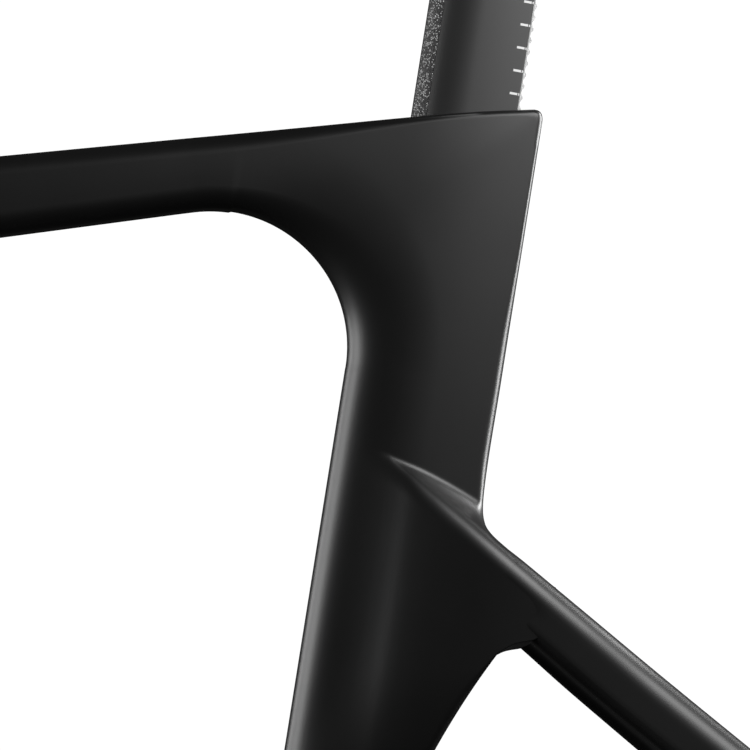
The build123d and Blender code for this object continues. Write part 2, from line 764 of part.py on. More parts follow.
with BuildPart() as steerer_cap:
    with BuildSketch(head_plane.offset(steerer_above)):
        Circle(14)
        Circle(3.2, mode=Mode.SUBTRACT)
    extrude(amount=5)
    chamfer(steerer_cap.faces().sort_by(head_axis)[-1].outer_wire().edges(), 1.2)
    with BuildSketch(head_plane.offset(steerer_above + 2)):
        Circle(5.4)
    extrude(amount=5, mode=Mode.SUBTRACT)

with BuildPart() as expander_bolt:
    with BuildSketch(head_plane.offset(34)):
        Circle(2.95)
    extrude(amount=steerer_above + 2 - 34)
    with BuildSketch(head_plane.offset(steerer_above + 2)):
        Circle(5)
    extrude(amount=2.6)
    with BuildSketch(head_plane.offset(steerer_above + 4.6)):
        RegularPolygon(2.9, 6)
    extrude(amount=-3, mode=Mode.SUBTRACT)

# ------------------------------------------------------------------ seatpost
seat_side = Plane(origin=(0, 0, 0), x_dir=(sa, 0, -ca), z_dir=(0, -1, 0))
grip_bottom = 450.0
grip_top = 690.0

# grit strips let into both flanks of the nose
with BuildPart() as front_grip_left:
    with BuildSketch(seat_plane.offset(grip_bottom)):
        with Locations((post_front + post_nose_reach, 0)):
            Ellipse(post_nose_reach, post_half_width)
            Ellipse(post_nose_reach - 0.8, post_half_width - 0.8, mode=Mode.SUBTRACT)
        with Locations((-15.9, -10)):
            Rectangle(5.8, 20, mode=Mode.INTERSECT)
    extrude(amount=grip_top - grip_bottom)

with BuildPart() as front_grip_right:
    add(mirror(front_grip_left.part, about=Plane.XZ))

# scalloped strip let into the tail
with BuildPart() as rear_grip:
    with BuildSketch(seat_plane.offset(grip_bottom)):
        with Locations((24.4, 0)):
            Rectangle(2.2, 13)
    extrude(amount=grip_top - grip_bottom)
    with BuildSketch(seat_side):
        with Locations((27.4, (grip_bottom + grip_top) / 2)):
            with GridLocations(5, 5, 1, 47):
                Circle(2.8)
    extrude(amount=10, both=True, mode=Mode.SUBTRACT)

clamp_s = 722.0
clamp_x = clamp_s * ca + 2.6 * sa
clamp_z = clamp_s * sa - 2.6 * ca
with BuildPart() as seatpost:
    with BuildSketch(seat_plane.offset(post_bottom)) as post_section:
        with Locations((post_front + post_nose_reach, 0)):
            Ellipse(post_nose_reach, post_half_width)
        with BuildLine():
            Polyline(
                (post_front + post_nose_reach, post_half_width),
                (12, post_half_width),
                (post_rear, post_tail_half_width),
                (post_rear, -post_tail_half_width),
                (12, -post_half_width),
                (post_front + post_nose_reach, -post_half_width),
                close=True,
            )
        make_face()
        fillet(post_section.vertices().sort_by(Axis.X)[-2:], 2)
    extrude(amount=post_top - post_bottom)
    # rounded head that carries the saddle clamp
    with BuildSketch(Plane.XZ):
        with Locations((clamp_x, clamp_z)):
            Circle(17)
    extrude(amount=post_half_width, both=True)
    # shoulders of the shaft cut back to the head
    with BuildSketch(seat_side):
        with BuildLine():
            Polyline((-22, 725), (-22, 700), (-13, 718), (2.6, 739), (19, 718), (28, 700), (28, 725), (2.6, 745),
                     close=True)
        make_face()
    extrude(amount=20, both=True, mode=Mode.SUBTRACT)
    # hollow core
    with BuildSketch(seat_plane.offset(post_bottom)):
        with Locations((1, 0)):
            Rectangle(30, 13)
    extrude(amount=250, mode=Mode.SUBTRACT)
    # cross hole of the clamp bolt
    with BuildSketch(Plane.XZ):
        with Locations((clamp_x, clamp_z)):
            Circle(3.05)
    extrude(amount=20, both=True, mode=Mode.SUBTRACT)
    add(front_grip_left.part, mode=Mode.SUBTRACT)
    add(front_grip_right.part, mode=Mode.SUBTRACT)
    with BuildSketch(seat_plane.offset(grip_bottom)):
        with Locations((24.4, 0)):
            Rectangle(2.2, 13)
    extrude(amount=grip_top - grip_bottom, mode=Mode.SUBTRACT)

# ------------------------------------------------------------------ saddle clamp
rail_y = 22.0
rail_rise = 12.0
with BuildPart() as rail_cradle_left:
    with BuildSketch(Plane.XZ.offset(post_half_width + 0.3)):
        with Locations((clamp_x, clamp_z)):
            Circle(13)
        with Locations((clamp_x, clamp_z + 7)):
            Rectangle(40, 14)
    extrude(amount=rail_y - 0.4 - post_half_width - 0.3)
    with BuildSketch(Plane.YZ.offset(clamp_x - 30)):
        with Locations((-rail_y, clamp_z + rail_rise - 3)):
            Circle(3.6)
    extrude(amount=60, mode=Mode.SUBTRACT)
    with BuildSketch(Plane.XZ):
        with Locations((clamp_x, clamp_z)):
            Circle(3.2)
    extrude(amount=40, both=True, mode=Mode.SUBTRACT)

with BuildPart() as rail_cradle_right:
    add(mirror(rail_cradle_left.part, about=Plane.XZ))

with BuildPart() as rail_ear_left:
    with BuildSketch(Plane.XZ.offset(rail_y + 0.4)):
        with Locations((clamp_x, clamp_z)):
            Circle(9)
        with Locations((clamp_x, clamp_z + 7)):
            Rectangle(36, 14)
    extrude(amount=7)
    with BuildSketch(Plane.YZ.offset(clamp_x - 30)):
        with Locations((-rail_y, clamp_z + rail_rise - 3)):
            Circle(3.6)
    extrude(amount=60, mode=Mode.SUBTRACT)
    with BuildSketch(Plane.XZ):
        with Locations((clamp_x, clamp_z)):
            Circle(3.2)
    extrude(amount=40, both=True, mode=Mode.SUBTRACT)

with BuildPart() as rail_ear_right:
    add(mirror(rail_ear_left.part, about=Plane.XZ))

with BuildPart() as saddle_bolt:
    with BuildSketch(Plane.XZ.offset(rail_y + 7.4)):
        with Locations((clamp_x, clamp_z)):
            Circle(5)
    extrude(amount=5)
    with BuildSketch(Plane.XZ.offset(rail_y + 8)):
        with Locations((clamp_x, clamp_z)):
            Circle(3)
    extrude(amount=-2 * rail_y - 20)
    with BuildSketch(Plane.XZ.offset(rail_y + 12.4)):
        with Locations((clamp_x, clamp_z)):
            RegularPolygon(2.9, 6)
    extrude(amount=-3, mode=Mode.SUBTRACT)

with BuildPart() as saddle_nut:
    with BuildSketch(Plane.XZ.offset(-rail_y - 7.4)):
        with Locations((clamp_x, clamp_z)):
            RegularPolygon(5.8, 6)
            Circle(3.1, mode=Mode.SUBTRACT)
    extrude(amount=-4.5)

# ------------------------------------------------------------------ seatpost clamp ahead of the post
# slot of the post plus working room, kept out of every clamp piece
with BuildPart() as post_room:
    with BuildSketch(seat_plane.offset(500)):
        with Locations((post_front + post_nose_reach, 0)):
            Ellipse(post_nose_reach + post_clearance, post_half_width + post_clearance)
    extrude(amount=100)

with BuildPart() as clamp_shoe:
    with BuildSketch(seat_side):
        with BuildLine():
            Polyline((-24.6, 524), (-18.2, 524), (-18.2, 553.5), (-29.0, 553.5), close=True)
        make_face()
    extrude(amount=8.3, both=True)
    add(post_room.part, mode=Mode.SUBTRACT)

with BuildPart() as clamp_wedge:
    with BuildSketch(seat_side):
        with BuildLine():
            Polyline((-36.8, 527), (-25.15, 527), (-28.75, 550.5), (-36.8, 550.5), close=True)
        make_face()
    extrude(amount=8.3, both=True)
    with BuildSketch(seat_plane.offset(520)):
        with Locations((-32.3, 0)):
            Circle(2.55)
    extrude(amount=60, mode=Mode.SUBTRACT)

with BuildPart() as clamp_cap:
    with BuildSketch(seat_plane.offset(555)):
        with Locations((-29, 0)):
            Rectangle(23.6, 19.6)
        with Locations((-32.3, 0)):
            Circle(2.8, mode=Mode.SUBTRACT)
    extrude(amount=2.5)
    add(post_room.part, mode=Mode.SUBTRACT)

with BuildPart() as clamp_bolt:
    with BuildSketch(seat_plane.offset(524.5)):
        with Locations((-32.3, 0)):
            Circle(2.5)
    extrude(amount=557.5 - 524.5)
    with BuildSketch(seat_plane.offset(557.5)):
        with Locations((-32.3, 0)):
            Circle(4.2)
    extrude(amount=3)
    with BuildSketch(seat_plane.offset(560.5)):
        with Locations((-32.3, 0)):
            RegularPolygon(2.4, 6)
    extrude(amount=-2.2, mode=Mode.SUBTRACT)

# soft cover, flush with the top line
with BuildPart() as clamp_cover:
    with BuildSketch(seat_plane.offset(557.5)):
        with Locations((-29, 0)):
            Rectangle(23.6, 19.6)
    extrude(amount=12)
    with BuildSketch(Plane.XZ):
        with BuildLine():
            Polyline((60, 551.2), (60, 600), (200, 600), (200, 546.72), close=True)
        make_face()
    extrude(amount=20, both=True, mode=Mode.SUBTRACT)
    with BuildSketch(seat_plane.offset(557)):
        with Locations((-32.3, 0)):
            Circle(4.6)
    extrude(amount=3.8, mode=Mode.SUBTRACT)
    add(post_room.part, mode=Mode.SUBTRACT)

# ------------------------------------------------------------------ export
bottom_bracket_shell.part.label = "bottom_bracket_shell"
export_step(bottom_bracket_shell.part, "parts/bottom_bracket_shell.step")
bottom_bracket_sleeve.part.label = "bottom_bracket_sleeve"
export_step(bottom_bracket_sleeve.part, "parts/bottom_bracket_sleeve.step")
seat_tube.part.label = "seat_tube"
export_step(seat_tube.part, "parts/seat_tube.step")
top_tube.part.label = "top_tube"
export_step(top_tube.part, "parts/top_tube.step")
head_tube.part.label = "head_tube"
export_step(head_tube.part, "parts/head_tube.step")
down_tube.part.label = "down_tube"
export_step(down_tube.part, "parts/down_tube.step")
hose_grommet.part.label = "hose_grommet"
export_step(hose_grommet.part, "parts/hose_grommet.step")
seat_bottle_bosses.part.label = "seat_bottle_bosses"
export_step(seat_bottle_bosses.part, "parts/seat_bottle_bosses.step")
down_bottle_bosses.part.label = "down_bottle_bosses"
export_step(down_bottle_bosses.part, "parts/down_bottle_bosses.step")
rear_dropout_left.part.label = "rear_dropout_left"
export_step(rear_dropout_left.part, "parts/rear_dropout_left.step")
rear_dropout_right.part.label = "rear_dropout_right"
export_step(rear_dropout_right.part, "parts/rear_dropout_right.step")
seatstay_left.part.label = "seatstay_left"
export_step(seatstay_left.part, "parts/seatstay_left.step")
seatstay_right.part.label = "seatstay_right"
export_step(seatstay_right.part, "parts/seatstay_right.step")
chainstay_brake_side.part.label = "chainstay_left"
export_step(chainstay_brake_side.part, "parts/chainstay_left.step")
chainstay_right.part.label = "chainstay_right"
export_step(chainstay_right.part, "parts/chainstay_right.step")
derailleur_hanger.part.label = "derailleur_hanger"
export_step(derailleur_hanger.part, "parts/derailleur_hanger.step")
hanger_screw.part.label = "hanger_screw"
export_step(hanger_screw.part, "parts/hanger_screw.step")
rear_axle.part.label = "rear_axle"
export_step(rear_axle.part, "parts/rear_axle.step")
fork_steerer.part.label = "fork_steerer"
export_step(fork_steerer.part, "parts/fork_steerer.step")
fork_crown.part.label = "fork_crown"
export_step(fork_crown.part, "parts/fork_crown.step")
fork_blade_brake_side.part.label = "fork_blade_left"
export_step(fork_blade_brake_side.part, "parts/fork_blade_left.step")
fork_blade_right.part.label = "fork_blade_right"
export_step(fork_blade_right.part, "parts/fork_blade_right.step")
front_dropout_left.part.label = "front_dropout_left"
export_step(front_dropout_left.part, "parts/front_dropout_left.step")
front_dropout_right.part.label = "front_dropout_right"
export_step(front_dropout_right.part, "parts/front_dropout_right.step")
front_axle.part.label = "front_axle"
export_step(front_axle.part, "parts/front_axle.step")
upper_outer_race.part.label = "upper_outer_race"
export_step(upper_outer_race.part, "parts/upper_outer_race.step")
upper_inner_race.part.label = "upper_inner_race"
export_step(upper_inner_race.part, "parts/upper_inner_race.step")
upper_balls.part.label = "upper_balls"
export_step(upper_balls.part, "parts/upper_balls.step")
upper_ball_cage.part.label = "upper_ball_cage"
export_step(upper_ball_cage.part, "parts/upper_ball_cage.step")
lower_outer_race.part.label = "lower_outer_race"
export_step(lower_outer_race.part, "parts/lower_outer_race.step")
lower_inner_race.part.label = "lower_inner_race"
export_step(lower_inner_race.part, "parts/lower_inner_race.step")
lower_balls.part.label = "lower_balls"
export_step(lower_balls.part, "parts/lower_balls.step")
lower_ball_cage.part.label = "lower_ball_cage"
export_step(lower_ball_cage.part, "parts/lower_ball_cage.step")
compression_ring.part.label = "compression_ring"
export_step(compression_ring.part, "parts/compression_ring.step")
headset_cover.part.label = "headset_cover"
export_step(headset_cover.part, "parts/headset_cover.step")
crown_race.part.label = "crown_race"
export_step(crown_race.part, "parts/crown_race.step")
steerer_spacer_lower.part.label = "steerer_spacer_lower"
export_step(steerer_spacer_lower.part, "parts/steerer_spacer_lower.step")
steerer_spacer_middle.part.label = "steerer_spacer_middle"
export_step(steerer_spacer_middle.part, "parts/steerer_spacer_middle.step")
steerer_spacer_upper.part.label = "steerer_spacer_upper"
export_step(steerer_spacer_upper.part, "parts/steerer_spacer_upper.step")
expander_sleeve.part.label = "expander_sleeve"
export_step(expander_sleeve.part, "parts/expander_sleeve.step")
expander_cone.part.label = "expander_cone"
export_step(expander_cone.part, "parts/expander_cone.step")
expander_bolt.part.label = "expander_bolt"
export_step(expander_bolt.part, "parts/expander_bolt.step")
steerer_cap.part.label = "steerer_cap"
export_step(steerer_cap.part, "parts/steerer_cap.step")
seatpost.part.label = "seatpost"
export_step(seatpost.part, "parts/seatpost.step")
front_grip_left.part.label = "front_grip_left"
export_step(front_grip_left.part, "parts/front_grip_left.step")
front_grip_right.part.label = "front_grip_right"
export_step(front_grip_right.part, "parts/front_grip_right.step")
rear_grip.part.label = "rear_grip"
export_step(rear_grip.part, "parts/rear_grip.step")
rail_cradle_left.part.label = "rail_cradle_left"
export_step(rail_cradle_left.part, "parts/rail_cradle_left.step")
rail_cradle_right.part.label = "rail_cradle_right"
export_step(rail_cradle_right.part, "parts/rail_cradle_right.step")
rail_ear_left.part.label = "rail_ear_left"
export_step(rail_ear_left.part, "parts/rail_ear_left.step")
rail_ear_right.part.label = "rail_ear_right"
export_step(rail_ear_right.part, "parts/rail_ear_right.step")
saddle_bolt.part.label = "saddle_bolt"
export_step(saddle_bolt.part, "parts/saddle_bolt.step")
saddle_nut.part.label = "saddle_nut"
export_step(saddle_nut.part, "parts/saddle_nut.step")
clamp_shoe.part.label = "clamp_shoe"
export_step(clamp_shoe.part, "parts/clamp_shoe.step")
clamp_wedge.part.label = "clamp_wedge"
export_step(clamp_wedge.part, "parts/clamp_wedge.step")
clamp_cap.part.label = "clamp_cap"
export_step(clamp_cap.part, "parts/clamp_cap.step")
clamp_bolt.part.label = "clamp_bolt"
export_step(clamp_bolt.part, "parts/clamp_bolt.step")
clamp_cover.part.label = "clamp_cover"
export_step(clamp_cover.part, "parts/clamp_cover.step")
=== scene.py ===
# %% [markdown]
# # An aero road bicycle frame
#
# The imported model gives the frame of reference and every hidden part. The visible carbon skins are
# built here as sweeps: a list of stations along a tube, and a section curve at each station.
# Everything is in millimetres while it is being shaped and in metres once it is a mesh.

# %% Load the frame of reference
import bpy
import json
import math
import numpy as np
from mathutils import Matrix, Vector


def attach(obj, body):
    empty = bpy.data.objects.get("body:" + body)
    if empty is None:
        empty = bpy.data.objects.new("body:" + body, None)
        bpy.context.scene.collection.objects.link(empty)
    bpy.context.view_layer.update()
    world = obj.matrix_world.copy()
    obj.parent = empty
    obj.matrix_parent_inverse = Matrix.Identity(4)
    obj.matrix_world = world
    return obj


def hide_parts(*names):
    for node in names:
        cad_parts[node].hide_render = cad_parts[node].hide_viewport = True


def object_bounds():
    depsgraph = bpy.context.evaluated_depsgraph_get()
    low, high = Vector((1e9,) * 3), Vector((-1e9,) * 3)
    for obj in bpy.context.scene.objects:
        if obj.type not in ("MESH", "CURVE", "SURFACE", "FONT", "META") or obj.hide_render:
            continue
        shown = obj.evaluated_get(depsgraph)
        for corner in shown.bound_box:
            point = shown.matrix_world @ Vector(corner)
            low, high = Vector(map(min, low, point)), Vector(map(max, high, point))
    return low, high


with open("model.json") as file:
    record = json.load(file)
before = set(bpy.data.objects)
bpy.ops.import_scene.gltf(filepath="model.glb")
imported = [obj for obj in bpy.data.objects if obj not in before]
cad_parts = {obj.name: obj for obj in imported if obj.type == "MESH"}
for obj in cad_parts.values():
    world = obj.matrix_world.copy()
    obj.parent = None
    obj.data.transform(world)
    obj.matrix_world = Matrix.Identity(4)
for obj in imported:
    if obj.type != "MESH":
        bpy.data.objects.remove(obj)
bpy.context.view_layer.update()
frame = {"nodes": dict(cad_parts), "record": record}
nodes = frame["nodes"]

# %% [markdown]
# ## The side view in numbers
#
# The seat tube leans back at the seat angle. A point of the side view is given by its height along
# that line, s, and its distance behind it, t. The rear stays have their own pair: l runs down the top
# edge of the stay from where it leaves the seat tube, and q is the depth below that edge.

# %% Side view frames
SEAT_ANGLE = math.radians(73.5)
STAY_ANGLE = math.radians(47.4)
SA, CA = math.sin(SEAT_ANGLE), math.cos(SEAT_ANGLE)
SV, CV = math.sin(STAY_ANGLE), math.cos(STAY_ANGLE)
STAY_X, STAY_Z = 155.7, 364.5
AXLE_X, AXLE_Z, ARCH_R = 398.9, 70.0, 352.5
CORNER_X, CORNER_Z, CORNER_R = 44.2, 463.0, 58.0
NOSE_T, TAIL_T = -31.2, 35.3
TUBE_LENGTH = 436.2


def seat_xz(s, t):
    """Side view point of seat tube height s and setback t: x = s cos + t sin, z = s sin - t cos."""
    return s * CA + t * SA, s * SA - t * CA


def seat_st(x, z):
    """Seat tube height and setback of a side view point: s = x cos + z sin, t = x sin - z cos."""
    return x * CA + z * SA, x * SA - z * CA


def stay_lq(x, z):
    """Distance down the stay's top edge and depth below it, for a side view point."""
    dx, dz = x - STAY_X, z - STAY_Z
    l = dx * CV - dz * SV
    return l, -(dx * SV + dz * CV) - droop(l)


def stay_xz(l, q):
    """Side view point l down the stay's top edge and q below it."""
    q = q + droop(l)
    return STAY_X + l * CV - q * SV, STAY_Z - l * SV - q * CV


def curve(value, knots):
    """Smooth curve through (place, height) knots, by cubic Hermite pieces with averaged slopes."""
    kx = np.array([k[0] for k in knots], float)
    ky = np.array([k[1] for k in knots], float)
    step = np.diff(ky) / np.diff(kx)
    slope = np.concatenate([[step[0]], 0.5 * (step[1:] + step[:-1]), [step[-1]]])
    v = np.clip(value, kx[0], kx[-1])
    i = np.clip(np.searchsorted(kx, v, side="right") - 1, 0, len(kx) - 2)
    h = kx[i + 1] - kx[i]
    u = (v - kx[i]) / h
    return (ky[i] * (1 + 2 * u) * (1 - u) ** 2 + ky[i + 1] * u * u * (3 - 2 * u)
            + h * slope[i] * u * (1 - u) ** 2 - h * slope[i + 1] * u * u * (1 - u))


def smooth(a, b, v):
    """Smooth step from 0 at a to 1 at b: 3u^2 - 2u^3."""
    u = np.clip((v - a) / (b - a), 0, 1)
    return u * u * (3 - 2 * u)


def droop(l):
    """How far the stay's top edge hangs below its straight chord."""
    return 2.6 - 2.6 * smooth(130.0, 335.0, l) + 1.5 * smooth(-15.0, -60.0, l)


def soft_min(a, b, r):
    """Smaller of two heights, with their crossing rounded over a band of width r."""
    h = np.maximum(r - np.abs(a - b), 0) / r
    return np.minimum(a, b) - 0.25 * r * h * h


def soft_max(a, b, r):
    """Larger of two heights, with their crossing filled over a band of width r."""
    return -soft_min(-a, -b, r)


# %% [markdown]
# ## Turning arrays into meshes
#
# A skin is a grid of points: rows along the tube, columns round the section. One function joins the
# grid into quads, closes it round the section, and caps its ends.

# %% Mesh maker
def skin(name, grid):
    """Closed mesh of a grid of points (rows, columns, 3) in millimetres: quads between neighbours,
    each row joined round into a ring, and a fan of triangles over each end."""
    rows, cols = grid.shape[:2]
    points = grid.reshape(-1, 3) * 0.001
    i = np.arange(rows - 1)[:, None]
    j = np.arange(cols)[None, :]
    k = (j + 1) % cols
    quads = np.stack([i * cols + j, i * cols + k, (i + 1) * cols + k, (i + 1) * cols + j], -1)
    faces = quads.reshape(-1, 4)
    centres = np.stack([grid[0].mean(0), grid[-1].mean(0)]) * 0.001
    points = np.concatenate([points, centres])
    a, b = rows * cols, rows * cols + 1
    ring = np.arange(cols)
    nxt = (ring + 1) % cols
    last = (rows - 1) * cols
    fans = np.concatenate([
        np.stack([nxt, ring, np.full(cols, a)], -1),
        np.stack([last + ring, last + nxt, np.full(cols, b)], -1)])
    mesh = bpy.data.meshes.new(name)
    mesh.from_pydata(points.tolist(), [], faces.tolist() + fans.tolist())
    mesh.update()
    obj = bpy.data.objects.new(name, mesh)
    bpy.context.scene.collection.objects.link(obj)
    mesh.polygons.foreach_set("use_smooth", np.ones(len(mesh.polygons), bool))
    return obj


def out_facing(obj):
    """Turns the faces outward where the enclosed volume came out negative."""
    mesh = obj.data
    mesh.calc_loop_triangles()
    tris = np.empty(len(mesh.loop_triangles) * 3, np.int64)
    mesh.loop_triangles.foreach_get("vertices", tris)
    pts = np.empty(len(mesh.vertices) * 3)
    mesh.vertices.foreach_get("co", pts)
    p = pts.reshape(-1, 3)[tris.reshape(-1, 3)]
    volume = np.einsum("ij,ij->i", p[:, 0], np.cross(p[:, 1], p[:, 2])).sum()
    if volume < 0:
        mesh.flip_normals()
    return obj


def sharpen(obj, degrees):
    """Keeps edges sharper than the angle crisp and everything else smooth."""
    mesh = obj.data
    mesh.set_sharp_from_angle(angle=math.radians(degrees))
    return obj


# %% [markdown]
# ## Shader arithmetic
#
# Materials are built from node sockets. A small wrapper lets them be written as sums and products.

# %% Shader helpers
class Value:
    """One socket or number in a node tree. + - * / make Math nodes, on either side."""

    def __init__(self, tree, socket):
        self.tree, self.socket = tree, socket

    def math(self, kind, a, b=None, clamp=False):
        node = self.tree.nodes.new("ShaderNodeMath")
        node.operation = kind
        node.use_clamp = clamp
        for slot, item in zip(node.inputs, (a, b)):
            if isinstance(item, Value):
                self.tree.links.new(item.socket, slot)
            elif item is not None:
                slot.default_value = item
        return Value(self.tree, node.outputs[0])

    def __add__(self, other):
        return self.math("ADD", self, other)

    def __radd__(self, other):
        return self.math("ADD", other, self)

    def __sub__(self, other):
        return self.math("SUBTRACT", self, other)

    def __rsub__(self, other):
        return self.math("SUBTRACT", other, self)

    def __mul__(self, other):
        return self.math("MULTIPLY", self, other)

    def __rmul__(self, other):
        return self.math("MULTIPLY", other, self)

    def above(self, other):
        return self.math("GREATER_THAN", self, other)

    def unit(self):
        return self.math("ADD", self, 0.0, clamp=True)


class Paint:
    """A material with one Principled shader, and a method that adds any other node."""

    def __init__(self, name):
        self.material = bpy.data.materials.new(name)
        self.material.use_nodes = True
        self.tree = self.material.node_tree
        self.shader = self.tree.nodes["Principled BSDF"]
        self.place = self.node("ShaderNodeTexCoord").outputs["Object"]

    def node(self, kind, settings=None, inputs=None):
        made = self.tree.nodes.new(kind)
        for key, item in (settings or {}).items():
            setattr(made, key, item)
        for key, item in (inputs or {}).items():
            if isinstance(item, Value):
                item = item.socket
            if isinstance(item, bpy.types.NodeSocket):
                self.tree.links.new(item, made.inputs[key])
            else:
                made.inputs[key].default_value = item
        return made

    def noise(self, scale, detail=2.0, rough=0.5):
        made = self.node("ShaderNodeTexNoise", None,
                         {"Vector": self.place, "Scale": scale, "Detail": detail, "Roughness": rough})
        return Value(self.tree, made.outputs[0])

    def blend(self, amount, low, high):
        made = self.node("ShaderNodeMix", {"data_type": "RGBA"})
        self.tree.links.new(amount.socket, made.inputs["Factor"])
        made.inputs[6].default_value = (*low, 1.0)
        made.inputs[7].default_value = (*high, 1.0)
        return made.outputs[2]

    def drive(self, key, item):
        self.tree.links.new(item.socket if isinstance(item, Value) else item, self.shader.inputs[key])

    def bump(self, height, distance, strength=1.0):
        made = self.node("ShaderNodeBump", None,
                         {"Height": height, "Distance": distance, "Strength": strength})
        self.tree.links.new(made.outputs[0], self.shader.inputs["Normal"])


def coated(name, low, high, rough, spread, grain=0.0, coat=0.0, metal=0.0, scale=28.0):
    """A coated surface: colour drifts between low and high, roughness by +-spread, with a fine grain."""
    paint = Paint(name)
    drift = paint.noise(scale, 3.0)
    fine = paint.noise(1900.0, 2.0, 0.6)
    paint.drive("Base Color", paint.blend((drift * 1.6 - 0.3).unit(), low, high))
    paint.drive("Roughness", rough - spread + drift * (1.2 * spread) + fine * (0.8 * spread))
    paint.shader.inputs["Metallic"].default_value = metal
    paint.shader.inputs["Coat Weight"].default_value = coat
    paint.shader.inputs["Coat Roughness"].default_value = 0.3
    if grain:
        paint.bump(fine, grain)
    return paint.material


# %% [markdown]
# ## Materials, one for each slot of the record
#
# The moulded carbon is sprayed satin black. Metal parts are anodised or bare. The post carries strips
# of black grit. Some of its grains carry a painted glint: a pale base colour in place of the light they
# would catch, with a real lower roughness and bump.

# %% Materials
LOOK = {
    "satin_carbon": coated("satin_carbon", (0.0035,) * 3, (0.0050,) * 3, 0.36, 0.02),
    "fork_carbon": coated("fork_carbon", (0.0035,) * 3, (0.0050,) * 3, 0.36, 0.02),
    "steerer_carbon": coated("steerer_carbon", (0.012,) * 3, (0.02,) * 3, 0.5, 0.06, 0.00001, scale=90.0),
    "post_carbon": coated("post_carbon", (0.012,) * 3, (0.016,) * 3, 0.42, 0.03, 0.0000012),
    "alloy": coated("alloy", (0.55, 0.56, 0.58), (0.66, 0.66, 0.68), 0.3, 0.05, metal=1.0),
    "black_alloy": coated("black_alloy", (0.018,) * 3, (0.03,) * 3, 0.34, 0.05, 0.000005, metal=0.6),
    "steel": coated("steel", (0.5, 0.5, 0.5), (0.62, 0.62, 0.62), 0.22, 0.04, metal=1.0),
    "black_steel": coated("black_steel", (0.02,) * 3, (0.018,) * 3, 0.36, 0.05, metal=0.8),
    "soft_cover": coated("soft_cover", (0.010,) * 3, (0.015,) * 3, 0.62, 0.05, 0.00001),
    "cage_plastic": coated("cage_plastic", (0.10, 0.075, 0.05), (0.14, 0.11, 0.08), 0.5, 0.05),
}


def grit(name, base, painted_glint, scale, share):
    """Grit on resin: round grains of one Voronoi cell each. A grain takes the painted glint colour, a
    painted highlight, where its random shade is above 1 - share. All grains stand proud of the base in the
    bump."""
    paint = Paint(name)
    cell = paint.node("ShaderNodeTexVoronoi", None, {"Vector": paint.place, "Scale": scale})
    shade = paint.node("ShaderNodeSeparateColor", None, {"Color": cell.outputs["Color"]})
    # Painted glint: the chosen grains get a pale base colour that stands in for the light they catch. Their
    # lower roughness and the bump are real.
    painted_glint_mask = Value(paint.tree, shade.outputs[0]).above(1.0 - share)
    near = (1.0 - Value(paint.tree, cell.outputs["Distance"]) * 1.7).unit()
    paint.drive("Base Color", paint.blend((painted_glint_mask * near * 1.8).unit(), base, painted_glint))
    paint.drive("Roughness", 0.62 - 0.3 * painted_glint_mask)
    paint.bump(near, 0.0002, 0.8)
    return paint.material


LOOK["grit"] = grit("grit", (0.005,) * 3, (0.45,) * 3, 1700.0, 0.30)
LOOK["pale_strip"] = grit("pale_strip", (0.70,) * 3, (0.85,) * 3, 1500.0, 0.5)
slots = {part["node"]: part["material_slot"] for part in frame["record"]["subparts"]}
for name, obj in nodes.items():
    obj.data.materials.clear()
    obj.data.materials.append(LOOK[slots[name]])
print("materials:", sorted(LOOK))

# %% [markdown]
# ## Main frame: top tube, corner and seat tube as one skin
#
# The side view of this moulding has a front or lower edge and a rear or upper edge. Each station is a
# straight ray between the two. The rays stand upright on the top tube, fan round the inside corner,
# and lie square to the seat tube from there down.

# %% Stations
def arch_t(s):
    """Setback of the wheel arch at seat tube height s."""
    cs, ct = seat_st(AXLE_X, AXLE_Z)
    return ct - np.sqrt(ARCH_R ** 2 - (s - cs) ** 2)


def rear_t(s):
    """Setback of the seat tube's rear edge: straight, a hollow curve into the stay, then the arch."""
    straight = curve(s, [(376.0, 70.2), (383.0, 58.4), (390.5, 46.1), (393.8, 41.4), (397.0, 38.4),
                         (401.0, 36.8), (407.0, 35.8), (415.0, TAIL_T), (460.0, TAIL_T)])
    web = curve(s, [(340.0, 46.0), (345.0, 51.5), (347.8, 54.8), (349.6, 57.6), (350.9, 61.0),
                    (352.0, 64.5), (356.0, 67.0), (376.0, 70.9)])
    return np.where(s > 376.0, straight, np.maximum(arch_t(s), np.where(s > 341.0, web, -99.0)))


def outer_edge():
    """Upper edge of the lug from over the corner to the post's rear, then down the rear edge."""
    x = np.linspace(CORNER_X, 193.5, 90)
    z = curve(x, [(CORNER_X, 551.95), (90.0, 550.5), (150.0, 548.4), (172.0, 547.3), (193.5, 545.6)])
    u = np.linspace(0, 1, 14)[1:, None]
    p0, p1, p2 = np.array([193.5, 545.6]), np.array([197.9, 545.2]), np.array(seat_xz(574.0, TAIL_T))
    bend = (1 - u) ** 2 * p0 + 2 * u * (1 - u) * p1 + u * u * p2
    s = np.linspace(571.0, 452.0, 90)
    down = np.stack(seat_xz(s, TAIL_T), 1)
    return np.concatenate([np.stack([x, z], 1), bend, down])


edge = outer_edge()
edge_angle = np.degrees(np.arctan2(edge[:, 1] - CORNER_Z, edge[:, 0] - CORNER_X))

tube_x = np.linspace(-372.0, CORNER_X, 64)[:-1]
share = (CORNER_X - tube_x) / TUBE_LENGTH
fan = np.radians(np.concatenate([np.linspace(90, 34, 46), np.linspace(33.3, 24, 26),
                                 np.linspace(23, -16.2, 32)]))
heights = np.concatenate([np.linspace(456.0, 424.0, 22), np.linspace(423.4, 376.0, 84),
                          np.linspace(375.0, 336.0, 44), np.linspace(334.0, 58.0, 78)])

